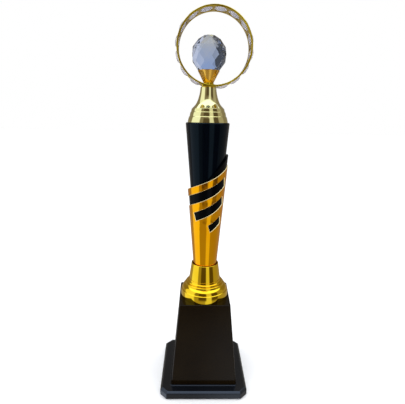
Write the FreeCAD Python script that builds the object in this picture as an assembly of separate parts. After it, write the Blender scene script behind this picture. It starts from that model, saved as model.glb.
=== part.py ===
import FreeCAD, Part
import math
import os

# Column trophy: a moulded base, a flared foot, a tapering column in a slotted gold sleeve,
# a bell-shaped neck, and a jewelled hoop standing round a faceted crystal ball.
# Millimetres, +Z up, front towards -Y, origin at the centre of the underside.
# One threaded rod on the axis clamps the whole stack together.

# Base
PAD_INSET = 2.0
PAD_THICKNESS = 1.0
SLAB_SIDE = 110.0
SLAB_TOP = 10.4
SLAB_CORNER_CUT = 8.5
SLAB_CHAMFER = 2.7
MOULDING_WALL = 3.0
BLOCK_FOOT_SIDE = 83.6
BLOCK_HEAD_SIDE = 64.0
BLOCK_TOP = 117.4
BLOCK_CORNER = 2.2
BLOCK_EDGE_ROUND = 1.0
BLOCK_INNER_CORNER = 1.0
LIP_WIDTH = 1.5
LIP_HEIGHT = 0.8
BALLAST_SIDE = 50.0
BALLAST_HEIGHT = 30.0
BALLAST_CHAMFER = 1.5

# Fasteners
ROD_RADIUS = 3.0
ROD_HOLE = 3.2
ROD_BOTTOM = 1.4
ROD_TOP = 390.0
ROD_CHAMFER = 0.6
NUT_ACROSS_FLATS = 10.0
NUT_HEIGHT = 5.0
WASHER_RADIUS = 9.0
WASHER_THICKNESS = 1.2
SCREW_OFFSET = 34.5
SCREW_RADIUS = 2.0
SCREW_LENGTH = 14.0
SCREW_HEAD_RADIUS = 3.8
SCREW_HEAD_HEIGHT = 2.6
SCREW_HEAD_ROUND = 1.0
SCREW_SLOT_WIDTH = 1.0
SCREW_SLOT_DEPTH = 1.2
SCREW_END_GAP = 1.0
BOSS_RADIUS = 5.0
BOSS_HEIGHT = 18.0

# Profiles below are (radius, height) points; a pair of points is an arc, its middle and its end.

# Foot: the flange's heights count from the block's top
FOOT_SEAT = 141.0
CUP_FLOOR = 143.0
CUP_RIM = 162.0
FLANGE_SHELF = 2.2
FLANGE_SEAT_RADIUS = 20.6
FLANGE_INSIDE = [(17.5, 21.4), (21.0, 16.1), (26.5, 9.6), (28.4, 0.0)]
FLANGE_OUTSIDE = [
    (30.5, 0.0), (30.5, 1.0), ((30.4, 5.0), (30.0, 8.8)), ((29.7, 9.6), (28.9, 10.0)),
    ((27.9, 13.2), (24.8, 15.8)), (24.4, 16.6), ((24.7, 17.6), (23.9, 18.5)),
    (22.4, 18.7), ((22.7, 19.8), (22.0, 20.9)), (20.8, 21.2),
]

# Cup: heights count from its seat on the flange
CUP_BELOW_RIM = CUP_RIM - FOOT_SEAT - 0.8
CUP_OUTSIDE = [(20.0, 0.0), ((19.1, 7.0), (17.2, CUP_BELOW_RIM))]
CUP_ROLLED_RIM = ((16.8, CUP_RIM - FOOT_SEAT), (16.0, CUP_BELOW_RIM))
CUP_INSIDE = ((17.6, 9.0), (18.2, CUP_FLOOR - FOOT_SEAT))

# Column: every skin is a cone on the axis, and each sits flush inside the next
SLEEVE_RADIUS = 14.2
SLEEVE_RADIUS_AT = 165.0
COLUMN_TAPER = 0.0823
SLEEVE_WALL = 1.1
LINER_WALL = 1.3
CORE_WALL = 2.0
COLUMN_TOP = 338.0
COLUMN_BEVEL = 1.0
PLUG_HEIGHT = 10.0
SLEEVE_BLANK_TOP = 300.0
LINER_BLANK_TOP = 310.0

# Angles round the column are in degrees: 0 faces the front, and they grow towards +X.
# Each top edge is a closed curve through (angle, height).
SLEEVE_EDGE = [
    (-110, 256.7), (-60, 261.7), (-20, 267.5), (20, 274.9), (60, 283.9),
    (95, 288.5), (130, 284.0), (180, 272.0), (225, 260.0),
]
LINER_EDGE = [
    (-110, 256.2), (-60, 261.0), (-20, 266.8), (2, 272.4), (29, 283.8), (57, 294.1),
    (95, 301.0), (130, 296.0), (180, 280.0), (225, 262.0),
]

# Sleeve slots: start angle, end angle, height of the middle line at the front, slot height
SLOTS = [
    (-110, 63, 256.0, 10.8),
    (-43, 62, 233.7, 10.0),
    (11, 57, 210.3, 8.7),
]
SLOT_RISE = 0.185
SLOT_CURL = 0.0005
SLOT_END_LEAN = 16.0
CUTTER_REACH = 4.0
SLOT_STATION_STEP = 12.0

# Neck: heights of the profile count from the column's top
BELL_TOP = 378.0
BELL_WALL = 1.6
BELL_FOOT_INSIDE = 21.8
BELL_INNER_DROP = 1.0
BELL_BANDS = [
    (BELL_FOOT_INSIDE, 0.0), (23.6, 0.0), (23.6, 0.8), (22.0, 6.8), (21.4, 7.0),
    (20.4, 11.9), (19.8, 12.1), (18.9, 15.9), (18.4, 16.2),
]
BELL_FLARE = [(18.4, 16.2), (14.4, 20.6), (12.2, 25.0), (10.7, 29.6), (9.7, 34.2), (9.0, 40.0)]

# Hoop
HOOP_CENTRE_X = 5.7
HOOP_CENTRE_Z = 420.0
HOOP_INNER = 40.2
HOOP_OUTER = 41.7
HOOP_HALF_DEPTH = 11.5
RIM_INNER = 39.7
RIM_OUTER = 42.2
RIM_WIDTH = 1.6
BAYS = 16
FIRST_BAY = 8.65
SEAT_BAY = 8
STONE_HALF_WIDTH = 6.9
STONE_HALF_DEPTH = 9.2
STONE_SIDES = 16
STONE_SQUARENESS = 2.8
STONE_BACK = 39.9
STONE_GIRDLE = 41.6
STONE_CROWN = 43.3
STONE_TABLE = 44.2
STONE_BACK_BEVEL = 0.6
STONE_CROWN_SCALE = 0.8
STONE_TABLE_SCALE = 0.45
TAB_HALF_WIDTH = 8.0
TAB_TOP = 380.2

# Ball and its holder
COLLAR_RADIUS = 5.5
COLLAR_BULGE = 0.6
COLLAR_TOP = 382.6
FUNNEL_STEM_RADIUS = 6.1
FUNNEL_STEM_CHAMFER = 0.6
FUNNEL_LIP_RADIUS = 12.4
FUNNEL_LIP_HEIGHT = 0.8
FUNNEL_LIP_WIDTH = 1.4
FUNNEL_WELL_RADIUS = 4.5
BALL_SEAT = 396.0
BALL_FACETS = 10
BALL_RINGS = [(396.0, 12.6), (404.8, 18.5), (413.0, 20.0), (421.3, 18.6), (428.7, 12.9), (432.5, 7.0)]

UP = FreeCAD.Vector(0, 0, 1)
ORIGIN = FreeCAD.Vector(0, 0, 0)


def sleeve_radius(height):
    """Outer radius of the gold sleeve at a height."""
    return SLEEVE_RADIUS + COLUMN_TAPER * (height - SLEEVE_RADIUS_AT)


def outward(angle):
    """Unit vector away from the axis at an angle in degrees, 0 at the front."""
    turn = math.radians(angle)
    return FreeCAD.Vector(math.sin(turn), -math.cos(turn), 0)


def along(angle):
    """Unit vector round the column, towards growing angles."""
    turn = math.radians(angle)
    return FreeCAD.Vector(math.cos(turn), math.sin(turn), 0)


def save(node, solids):
    """Write one node, a single solid or a group of separate ones, as a STEP file."""
    for solid in solids:
        if not solid.isValid() or solid.Volume <= 0:
            raise ValueError("bad solid in " + node)
    shape = solids[0] if len(solids) == 1 else Part.makeCompound(solids)
    shape.exportStep("parts/" + node + ".step")


def single(shape):
    """The one solid in the result of a cut or a fuse, turned right side out."""
    if len(shape.Solids) != 1:
        raise ValueError("expected one solid, found %d" % len(shape.Solids))
    solid = shape.Solids[0]
    if solid.Volume < 0:
        solid.reverse()
    return solid


def lifted(profile, base):
    """A profile's points and arcs, moved up by a height."""
    moved = []
    for step in profile:
        if isinstance(step[0], tuple):
            moved.append(tuple((radius, height + base) for radius, height in step))
        else:
            moved.append((step[0], step[1] + base))
    return moved


def section(outline):
    """Closed face in the XZ plane from a profile of points and arcs."""
    first = FreeCAD.Vector(outline[0][0], 0, outline[0][1])
    here = first
    edges = []
    for step in outline[1:]:
        if isinstance(step[0], tuple):
            middle = FreeCAD.Vector(step[0][0], 0, step[0][1])
            there = FreeCAD.Vector(step[1][0], 0, step[1][1])
            edges.append(Part.Arc(here, middle, there).toShape())
        else:
            there = FreeCAD.Vector(step[0], 0, step[1])
            edges.append(Part.makeLine(here, there))
        here = there
    edges.append(Part.makeLine(here, first))
    return Part.Face(Part.Wire(edges))


def revolve(outline):
    """Turned solid about the axis from a closed outline."""
    return single(section(outline).revolve(ORIGIN, UP, 360))


def cylinder(radius, bottom, top):
    """Upright cylinder on the axis."""
    return Part.makeCylinder(radius, top - bottom, FreeCAD.Vector(0, 0, bottom))


def cone(bottom_radius, top_radius, bottom, top):
    """Upright cone frustum on the axis."""
    return Part.makeCone(bottom_radius, top_radius, top - bottom, FreeCAD.Vector(0, 0, bottom))


def rounded_square(side, corner, height):
    """Closed wire: a square with rounded corners, level at a height."""
    half = side / 2
    inset = half - corner
    edges = []
    for quarter in range(4):
        turn = quarter * math.pi / 2
        spin = FreeCAD.Rotation(UP, math.degrees(turn))
        start = spin.multVec(FreeCAD.Vector(half, -inset, 0))
        end = spin.multVec(FreeCAD.Vector(half, inset, 0))
        bend = corner * math.sqrt(0.5)
        middle = spin.multVec(FreeCAD.Vector(inset + bend, inset + bend, 0))
        after = spin.multVec(FreeCAD.Vector(inset, half, 0))
        edges.append(Part.makeLine(start, end))
        edges.append(Part.Arc(end, middle, after).toShape())
    wire = Part.Wire(edges)
    wire.translate(FreeCAD.Vector(0, 0, height))
    return wire


def rounded_plate(side, corner, bottom, top):
    """Square plate with rounded corners."""
    return Part.Face(rounded_square(side, corner, bottom)).extrude(UP * (top - bottom))


def clipped_plate(inset, bottom, top):
    """Plate of the slab's outline, a square with its corners cut off, drawn in all round."""
    half = SLAB_SIDE / 2 - inset
    near = half - SLAB_CORNER_CUT + inset * (2 - math.sqrt(2))
    corners = []
    for quarter in range(4):
        spin = FreeCAD.Rotation(UP, 90 * quarter)
        corners.append(spin.multVec(FreeCAD.Vector(half, -near, bottom)))
        corners.append(spin.multVec(FreeCAD.Vector(half, near, bottom)))
    corners.append(corners[0])
    return Part.Face(Part.makePolygon(corners)).extrude(UP * (top - bottom))


def screw_places():
    """Centres of the four base screws."""
    places = []
    for x_sign in (-1, 1):
        for y_sign in (-1, 1):
            places.append(FreeCAD.Vector(x_sign * SCREW_OFFSET, y_sign * SCREW_OFFSET, 0))
    return places


def base_pad():
    """Soft non-slip pad over the whole underside."""
    return clipped_plate(PAD_INSET, 0, PAD_THICKNESS)


def base_slab():
    """Hollow moulded slab with a chamfered top edge and a low lip round the block's foot."""
    slab = clipped_plate(0, PAD_THICKNESS, SLAB_TOP)
    top_edges = [edge for edge in slab.Edges if edge.BoundBox.ZMin > SLAB_TOP - 0.01]
    slab = slab.makeChamfer(SLAB_CHAMFER, top_edges)
    lip_side = BLOCK_FOOT_SIDE + 2 * LIP_WIDTH
    lip = rounded_plate(lip_side, BLOCK_CORNER + LIP_WIDTH, SLAB_TOP - 1, SLAB_TOP + LIP_HEIGHT)
    seat = rounded_plate(BLOCK_FOOT_SIDE, BLOCK_CORNER, SLAB_TOP, SLAB_TOP + LIP_HEIGHT)
    slab = slab.fuse(lip).cut(seat)
    slab = slab.cut(clipped_plate(MOULDING_WALL, PAD_THICKNESS, SLAB_TOP - MOULDING_WALL))
    slab = slab.cut(cylinder(ROD_HOLE, 0, SLAB_TOP + 1))
    for place in screw_places():
        slab = slab.cut(Part.makeCylinder(SCREW_RADIUS, SLAB_TOP + 1, place))
    return single(slab)


def plinth_block():
    """Hollow tapering block, closed at the top, with four screw bosses inside."""
    foot = rounded_square(BLOCK_FOOT_SIDE, BLOCK_CORNER, SLAB_TOP)
    head = rounded_square(BLOCK_HEAD_SIDE, BLOCK_CORNER, BLOCK_TOP)
    block = Part.makeLoft([foot, head], True, True)
    top_edges = [edge for edge in block.Edges if edge.BoundBox.ZMin > BLOCK_TOP - 0.01]
    block = block.makeFillet(BLOCK_EDGE_ROUND, top_edges)
    inner_foot = rounded_square(BLOCK_FOOT_SIDE - 2 * MOULDING_WALL, BLOCK_INNER_CORNER, SLAB_TOP)
    ceiling = BLOCK_TOP - MOULDING_WALL
    inner_head = rounded_square(BLOCK_HEAD_SIDE - 2 * MOULDING_WALL, BLOCK_INNER_CORNER, ceiling)
    block = block.cut(Part.makeLoft([inner_foot, inner_head], True, True))
    for place in screw_places():
        base = place + UP * SLAB_TOP
        block = block.fuse(Part.makeCylinder(BOSS_RADIUS, BOSS_HEIGHT, base))
        block = block.cut(Part.makeCylinder(SCREW_RADIUS, SCREW_LENGTH, base))
    block = block.cut(cylinder(ROD_HOLE, BLOCK_TOP - 2 * MOULDING_WALL, BLOCK_TOP + 1))
    return single(block)


def ballast_weight():
    """Iron block on the slab, inside the hollow plinth, that keeps the trophy upright."""
    corner = FreeCAD.Vector(-BALLAST_SIDE / 2, -BALLAST_SIDE / 2, SLAB_TOP)
    block = Part.makeBox(BALLAST_SIDE, BALLAST_SIDE, BALLAST_HEIGHT, corner)
    block = block.makeChamfer(BALLAST_CHAMFER, block.Edges)
    return single(block.cut(cylinder(ROD_HOLE, SLAB_TOP, SLAB_TOP + BALLAST_HEIGHT)))


def base_screws():
    """Four pan-head screws that hold the slab to the block."""
    underside = SLAB_TOP - MOULDING_WALL
    head_bottom = underside - SCREW_HEAD_HEIGHT
    shank_length = MOULDING_WALL + SCREW_LENGTH - SCREW_END_GAP
    screws = []
    for place in screw_places():
        head = Part.makeCylinder(SCREW_HEAD_RADIUS, SCREW_HEAD_HEIGHT, place + UP * head_bottom)
        rims = [edge for edge in head.Edges if edge.BoundBox.ZMax < head_bottom + 0.01]
        head = head.makeFillet(SCREW_HEAD_ROUND, rims)
        shank = Part.makeCylinder(SCREW_RADIUS, shank_length, place + UP * underside)
        slot_corner = place + FreeCAD.Vector(-SCREW_HEAD_RADIUS, -SCREW_SLOT_WIDTH / 2, head_bottom)
        slot = Part.makeBox(2 * SCREW_HEAD_RADIUS, SCREW_SLOT_WIDTH, SCREW_SLOT_DEPTH, slot_corner)
        screws.append(single(head.fuse(shank).cut(slot)))
    return screws


def washer(bottom):
    """Plain washer on the rod."""
    return cylinder(WASHER_RADIUS, bottom, bottom + WASHER_THICKNESS).cut(
        cylinder(ROD_HOLE, bottom, bottom + WASHER_THICKNESS))


def hex_nut(bottom):
    """Hexagon nut on the rod."""
    reach = NUT_ACROSS_FLATS / math.sqrt(3)
    corners = []
    for side in range(7):
        corners.append(outward(60 * side) * reach + UP * bottom)
    prism = Part.Face(Part.makePolygon(corners)).extrude(UP * NUT_HEIGHT)
    return single(prism.cut(cylinder(ROD_RADIUS, bottom, bottom + NUT_HEIGHT)))


def tie_rod():
    """Threaded rod, drawn at its outside diameter, from the base's nut to the ball's cup."""
    rod = cylinder(ROD_RADIUS, ROD_BOTTOM, ROD_TOP)
    return single(rod.makeChamfer(ROD_CHAMFER, rod.Edges[0:1] + rod.Edges[2:3]))


def foot_flange():
    """Flared foot: an upright edge band, an ogee, then two narrow steps."""
    profile = [(ROD_HOLE, FOOT_SEAT), (ROD_HOLE, FOOT_SEAT - FLANGE_SHELF)]
    profile += lifted(FLANGE_INSIDE + FLANGE_OUTSIDE, BLOCK_TOP)
    profile.append((FLANGE_SEAT_RADIUS, FOOT_SEAT))
    return revolve(profile)


def foot_cup():
    """Open cup on the flange that the column stands in, with a rolled rim."""
    profile = [(ROD_HOLE, FOOT_SEAT)]
    profile += lifted(CUP_OUTSIDE + [CUP_ROLLED_RIM, CUP_INSIDE], FOOT_SEAT)
    profile.append((ROD_HOLE, CUP_FLOOR))
    return revolve(profile)


def column_skin(outer_offset, wall, top):
    """Conical tube from the cup's floor up, its outside a given depth inside the sleeve's."""
    low = sleeve_radius(CUP_FLOOR) - outer_offset
    high = sleeve_radius(top) - outer_offset
    return cone(low, high, CUP_FLOOR, top).cut(cone(low - wall, high - wall, CUP_FLOOR, top))


def above_edge(edge_points):
    """Everything above a wavy cut that is level along each radius, out past the column's skins."""
    turns = [float(angle) for angle, height in edge_points]
    turns.append(turns[0] + 360.0)
    rings = []
    for radius in (ROD_HOLE, sleeve_radius(LINER_BLANK_TOP) + CUTTER_REACH):
        points = [outward(angle) * radius + UP * height for angle, height in edge_points]
        curve = Part.BSplineCurve()
        curve.interpolate(Points=points, PeriodicFlag=True, Parameters=turns)
        rings.append(curve.toShape())
    return Part.makeRuledSurface(rings[0], rings[1]).extrude(UP * COLUMN_TOP)


def slot_cutter(start, end, front_height, slot_height):
    """Tool for one oblique slot: a leaning rectangle swept round and up the sleeve."""
    lean = math.radians(SLOT_END_LEAN)
    sections = []
    stations = max(5, round((end - start) / SLOT_STATION_STEP) + 1)
    for station in range(stations):
        angle = start + (end - start) * station / (stations - 1)
        height = front_height + SLOT_RISE * angle + SLOT_CURL * angle ** 2
        radius = sleeve_radius(height)
        slope = (SLOT_RISE + 2 * SLOT_CURL * angle) / (radius * math.radians(1))
        half = slot_height / 2 / (math.cos(lean) + slope * math.sin(lean))
        rise = UP * math.cos(lean) - along(angle) * math.sin(lean)
        centre = outward(angle) * radius + UP * height
        corners = []
        for inward, side in ((-1, -1), (1, -1), (1, 1), (-1, 1), (-1, -1)):
            corners.append(centre + outward(angle) * (CUTTER_REACH * inward) + rise * (half * side))
        sections.append(Part.makePolygon(corners))
    return Part.makeLoft(sections, True, False)


def column_sleeve():
    """Gold sleeve with an oblique top edge and three oblique slots."""
    sleeve = column_skin(0, SLEEVE_WALL, SLEEVE_BLANK_TOP).cut(above_edge(SLEEVE_EDGE))
    for slot in SLOTS:
        sleeve = sleeve.cut(slot_cutter(*slot))
    return single(sleeve)


def column_liner():
    """Black liner inside the sleeve, showing in the slots and above the sleeve's high side."""
    liner = column_skin(SLEEVE_WALL, LINER_WALL, LINER_BLANK_TOP)
    return single(liner.cut(above_edge(LINER_EDGE)))


def column_core():
    """Black conical tube that carries the neck, bevelled at its top."""
    inset = SLEEVE_WALL + LINER_WALL
    low = sleeve_radius(CUP_FLOOR) - inset
    high = sleeve_radius(COLUMN_TOP) - inset
    return revolve([
        (low - CORE_WALL, CUP_FLOOR), (low, CUP_FLOOR), (high - COLUMN_TAPER, COLUMN_TOP - COLUMN_BEVEL),
        (high - COLUMN_BEVEL, COLUMN_TOP), (high - CORE_WALL, COLUMN_TOP),
    ])


def column_plug(bottom):
    """Plug that centres the core on the rod."""
    inset = SLEEVE_WALL + LINER_WALL + CORE_WALL
    low = sleeve_radius(bottom) - inset
    high = sleeve_radius(bottom + PLUG_HEIGHT) - inset
    plug = cone(low, high, bottom, bottom + PLUG_HEIGHT)
    return single(plug.cut(cylinder(ROD_HOLE, bottom, bottom + PLUG_HEIGHT)))


def smooth_edge(points):
    """Smooth curve in the XZ plane through (radius, height) points."""
    curve = Part.BSplineCurve()
    curve.interpolate([FreeCAD.Vector(radius, 0, height) for radius, height in points])
    return curve.toShape()


def bell_neck():
    """Spun neck: three stepped bands, then a flare that narrows to the hoop's seat."""
    bands = lifted(BELL_BANDS, COLUMN_TOP)
    flare = lifted(BELL_FLARE, COLUMN_TOP)
    seat_radius = flare[-1][0]
    inner = [(radius - BELL_WALL, height - BELL_INNER_DROP) for radius, height in flare]
    inner[-1] = (seat_radius - BELL_WALL, BELL_TOP - BELL_WALL)
    seat = [(seat_radius, BELL_TOP), (ROD_HOLE, BELL_TOP), (ROD_HOLE, BELL_TOP - BELL_WALL), inner[-1]]
    edges = [smooth_edge(flare), smooth_edge(inner)]
    for run in (bands, seat, [inner[0], bands[0]]):
        for start, end in zip(run, run[1:]):
            from_point = FreeCAD.Vector(start[0], 0, start[1])
            to_point = FreeCAD.Vector(end[0], 0, end[1])
            edges.append(Part.makeLine(from_point, to_point))
    face = Part.Face(Part.Wire(Part.__sortEdges__(edges)))
    return single(face.revolve(ORIGIN, UP, 360))


def hoop_ring(inner, outer, near, far):
    """Ring about the hoop's own axis, which runs along Y, between two depths."""
    centre = FreeCAD.Vector(HOOP_CENTRE_X, near, HOOP_CENTRE_Z)
    back = FreeCAD.Vector(0, 1, 0)
    return Part.makeCylinder(outer, far - near, centre, back).cut(
        Part.makeCylinder(inner, far - near, centre, back))


def bay_angles():
    """Angle of each stone, clockwise from the hoop's top as seen from the front."""
    return [FIRST_BAY + 360.0 / BAYS * bay for bay in range(BAYS) if bay != SEAT_BAY]


def squared(value):
    """A sine or cosine pushed outward, which turns an oval into a fuller, squarer one."""
    return math.copysign(abs(value) ** (2 / STONE_SQUARENESS), value)


def stone_outline(angle, distance, scale):
    """Full oval outline square to a hoop radius, at a distance from the hoop's centre."""
    turn = math.radians(angle)
    radial = FreeCAD.Vector(math.sin(turn), 0, math.cos(turn))
    tangent = FreeCAD.Vector(math.cos(turn), 0, -math.sin(turn))
    centre = FreeCAD.Vector(HOOP_CENTRE_X, 0, HOOP_CENTRE_Z) + radial * distance
    corners = []
    for side in range(STONE_SIDES + 1):
        step = 2 * math.pi * (side + 0.5) / STONE_SIDES
        sideways = tangent * (STONE_HALF_WIDTH * scale * squared(math.cos(step)))
        depth = FreeCAD.Vector(0, STONE_HALF_DEPTH * scale * squared(math.sin(step)), 0)
        corners.append(centre + sideways + depth)
    return Part.makePolygon(corners)


def hoop_frame():
    """Gold hoop: a pierced band with a raised rim on each edge and a flat seat tab."""
    depth = HOOP_HALF_DEPTH
    frame = hoop_ring(HOOP_INNER, HOOP_OUTER, -depth, depth)
    frame = frame.fuse(hoop_ring(RIM_INNER, RIM_OUTER, -depth, RIM_WIDTH - depth))
    frame = frame.fuse(hoop_ring(RIM_INNER, RIM_OUTER, depth - RIM_WIDTH, depth))
    tab_corner = FreeCAD.Vector(-TAB_HALF_WIDTH, -depth, BELL_TOP)
    frame = frame.fuse(Part.makeBox(2 * TAB_HALF_WIDTH, 2 * depth, TAB_TOP - BELL_TOP, tab_corner))
    below = FreeCAD.Vector(-2 * TAB_HALF_WIDTH, -depth, BELL_TOP - 5)
    frame = frame.cut(Part.makeBox(4 * TAB_HALF_WIDTH, 2 * depth, 5, below))
    above = FreeCAD.Vector(-FUNNEL_STEM_RADIUS, -FUNNEL_STEM_RADIUS, TAB_TOP)
    frame = frame.cut(Part.makeBox(2 * FUNNEL_STEM_RADIUS, 2 * FUNNEL_STEM_RADIUS, 3, above))
    for angle in bay_angles():
        ends = [stone_outline(angle, RIM_INNER - 4, 1), stone_outline(angle, RIM_OUTER + 4, 1)]
        frame = frame.cut(Part.makeLoft(ends, True, True))
    return single(frame.cut(cylinder(ROD_HOLE, BELL_TOP - 1, TAB_TOP + 1)))


def hoop_stones():
    """Oval faceted stones, one in each bay of the hoop except the seat."""
    levels = [
        (STONE_BACK, STONE_CROWN_SCALE), (STONE_BACK + STONE_BACK_BEVEL, 1), (STONE_GIRDLE, 1),
        (STONE_CROWN, STONE_CROWN_SCALE), (STONE_TABLE, STONE_TABLE_SCALE),
    ]
    stones = []
    for angle in bay_angles():
        outlines = [stone_outline(angle, distance, scale) for distance, scale in levels]
        stones.append(single(Part.makeLoft(outlines, True, True)))
    return stones


def hoop_collar():
    """Small ring that clamps the hoop's tab."""
    bulge = (COLLAR_RADIUS + COLLAR_BULGE, (COLLAR_TOP + TAB_TOP) / 2)
    return revolve([
        (ROD_HOLE, TAB_TOP), (COLLAR_RADIUS, TAB_TOP), (bulge, (COLLAR_RADIUS, COLLAR_TOP)),
        (ROD_HOLE, COLLAR_TOP),
    ])


def ball_cup():
    """Funnel screwed on the rod's end; the ball's flat base is bonded to its rim."""
    well_floor = ROD_TOP + ROD_CHAMFER
    return revolve([
        (ROD_RADIUS, COLLAR_TOP), (FUNNEL_STEM_RADIUS - FUNNEL_STEM_CHAMFER, COLLAR_TOP),
        (FUNNEL_STEM_RADIUS, COLLAR_TOP + FUNNEL_STEM_CHAMFER),
        (FUNNEL_LIP_RADIUS, BALL_SEAT - FUNNEL_LIP_HEIGHT), (FUNNEL_LIP_RADIUS, BALL_SEAT),
        (FUNNEL_LIP_RADIUS - FUNNEL_LIP_WIDTH, BALL_SEAT),
        (FUNNEL_WELL_RADIUS, well_floor), (ROD_RADIUS, well_floor),
    ])


def crystal_ball():
    """Clear ball cut with rings of triangular facets, flat at its top and base."""
    rings = []
    for level, (height, radius) in enumerate(BALL_RINGS):
        stagger = 0.5 * (level % 2)
        corners = []
        for facet in range(BALL_FACETS):
            corners.append(outward(360.0 / BALL_FACETS * (facet + stagger)) * radius + UP * height)
        rings.append(corners)
    faces = []
    for cap in (rings[0], rings[-1]):
        faces.append(Part.Face(Part.makePolygon(cap + [cap[0]])))
    for level in range(len(rings) - 1):
        low = rings[level]
        high = rings[level + 1]
        for facet in range(BALL_FACETS):
            following = (facet + 1) % BALL_FACETS
            if level % 2 == 0:
                first = (low[facet], low[following], high[facet])
                second = (high[facet], low[following], high[following])
            else:
                first = (low[facet], high[following], high[facet])
                second = (low[facet], low[following], high[following])
            for corners in (first, second):
                faces.append(Part.Face(Part.makePolygon(list(corners) + [corners[0]])))
    shell = Part.makeShell(faces)
    shell.sewShape()
    return single(Part.makeSolid(shell))


os.makedirs("parts", exist_ok=True)
save("base_pad", [base_pad()])
save("base_slab", [base_slab()])
save("plinth_block", [plinth_block()])
save("ballast_weight", [ballast_weight()])
save("base_screws", base_screws())
save("rod_washer_lower", [washer(SLAB_TOP - MOULDING_WALL - WASHER_THICKNESS)])
save("rod_nut_lower", [hex_nut(SLAB_TOP - MOULDING_WALL - WASHER_THICKNESS - NUT_HEIGHT)])
save("tie_rod", [tie_rod()])
save("foot_flange", [foot_flange()])
save("foot_cup", [foot_cup()])
save("column_core", [column_core()])
save("column_liner", [column_liner()])
save("column_sleeve", [column_sleeve()])
save("column_plug_lower", [column_plug(CUP_FLOOR)])
save("column_plug_upper", [column_plug(COLUMN_TOP - PLUG_HEIGHT)])
save("rod_washer_upper", [washer(COLUMN_TOP)])
save("rod_nut_upper", [hex_nut(COLUMN_TOP + WASHER_THICKNESS)])
save("bell_neck", [bell_neck()])
save("hoop_frame", [hoop_frame()])
save("hoop_stones", hoop_stones())
save("hoop_collar", [hoop_collar()])
save("ball_cup", [ball_cup()])
save("crystal_ball", [crystal_ball()])
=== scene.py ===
import math

import bmesh
import bpy
from mathutils import Matrix, Vector


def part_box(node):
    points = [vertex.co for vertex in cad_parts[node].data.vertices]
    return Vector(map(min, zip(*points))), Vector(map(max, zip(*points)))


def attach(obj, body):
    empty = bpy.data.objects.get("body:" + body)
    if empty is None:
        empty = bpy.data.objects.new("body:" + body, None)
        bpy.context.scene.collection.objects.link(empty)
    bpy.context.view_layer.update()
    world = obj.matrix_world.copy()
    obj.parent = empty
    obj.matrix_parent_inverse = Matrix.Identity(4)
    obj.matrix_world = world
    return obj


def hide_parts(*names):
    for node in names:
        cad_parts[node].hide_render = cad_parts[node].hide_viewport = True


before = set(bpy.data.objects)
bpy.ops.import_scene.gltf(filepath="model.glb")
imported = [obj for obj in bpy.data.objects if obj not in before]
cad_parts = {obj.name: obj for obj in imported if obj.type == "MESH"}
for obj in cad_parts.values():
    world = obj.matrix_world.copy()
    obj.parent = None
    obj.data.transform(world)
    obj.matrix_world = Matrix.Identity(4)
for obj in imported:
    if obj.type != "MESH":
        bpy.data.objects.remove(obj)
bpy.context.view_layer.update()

MM = 0.001
BODY = "root"


# ---- places from the frame ------------------------------------------------------------------

def low(node):
    """Height of a node's underside, in metres."""
    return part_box(node)[0][2]


def high(node):
    """Height of a node's top, in metres."""
    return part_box(node)[1][2]


def half_width(node):
    """Half of a node's size along X, in metres."""
    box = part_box(node)
    return (box[1][0] - box[0][0]) / 2


SLAB_TOP = low("plinth_block")
BLOCK_TOP = high("plinth_block")
CUP_FLOOR = low("column_sleeve")
CUP_RIM = high("foot_cup")
COLUMN_TOP = high("column_core")
BELL_TOP = high("bell_neck")
TAB_TOP = low("hoop_collar")
COLLAR_TOP = high("hoop_collar")
BALL_SEAT = high("ball_cup")
BALL_TOP = high("crystal_ball")
ROD_HOLE = 3.2 * MM
CUT_EASE = 0.5 * MM
PALE = (0.955, 0.955, 0.955)


# ---- small tools ----------------------------------------------------------------------------

def make_object(name, mesh):
    """Put a mesh in the scene as a piece that rides on the one body."""
    piece = bpy.data.objects.new(name, mesh)
    bpy.context.scene.collection.objects.link(piece)
    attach(piece, BODY)
    return piece


def finish_piece(piece, material, node, smooth=True, sharp_angle=38, weighted=True):
    """Material, shading and the CAD node that a piece stands for."""
    piece.data.materials.append(material)
    mesh = piece.data
    for polygon in mesh.polygons:
        polygon.use_smooth = smooth
    if smooth:
        mark_sharp(mesh, sharp_angle)
        if weighted:
            modifier = piece.modifiers.new("even_normals", "WEIGHTED_NORMAL")
            modifier.keep_sharp = True
    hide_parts(node)
    return piece


def mark_sharp(mesh, degrees):
    """Mark the edges where two faces meet at more than an angle."""
    work = bmesh.new()
    work.from_mesh(mesh)
    limit = math.radians(degrees)
    for edge in work.edges:
        edge.smooth = len(edge.link_faces) == 2 and edge.calc_face_angle(0) < limit
    work.to_mesh(mesh)
    work.free()


def mesh_from(name, build):
    """A mesh made by a function that fills a bmesh, with its faces turned outward."""
    work = bmesh.new()
    build(work)
    bmesh.ops.recalc_face_normals(work, faces=work.faces)
    mesh = bpy.data.meshes.new(name)
    work.to_mesh(mesh)
    work.free()
    return mesh


def arc(start, middle, end, steps=8):
    """Points along the arc through three points, without its start."""
    ax, ay = start
    bx, by = middle
    cx, cy = end
    doubled = 2 * (ax * (by - cy) + bx * (cy - ay) + cx * (ay - by))
    a2, b2, c2 = ax * ax + ay * ay, bx * bx + by * by, cx * cx + cy * cy
    ux = (a2 * (by - cy) + b2 * (cy - ay) + c2 * (ay - by)) / doubled
    uy = (a2 * (cx - bx) + b2 * (ax - cx) + c2 * (bx - ax)) / doubled
    radius = math.hypot(ax - ux, ay - uy)
    first = math.atan2(ay - uy, ax - ux)
    last = math.atan2(cy - uy, cx - ux)
    through = math.atan2(by - uy, bx - ux)
    full = 2 * math.pi
    sweep = (last - first) % full
    if (through - first) % full > sweep:
        sweep -= full
    points = []
    for step in range(1, steps + 1):
        turn = first + sweep * step / steps
        points.append((ux + radius * math.cos(turn), uy + radius * math.sin(turn)))
    return points


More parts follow.
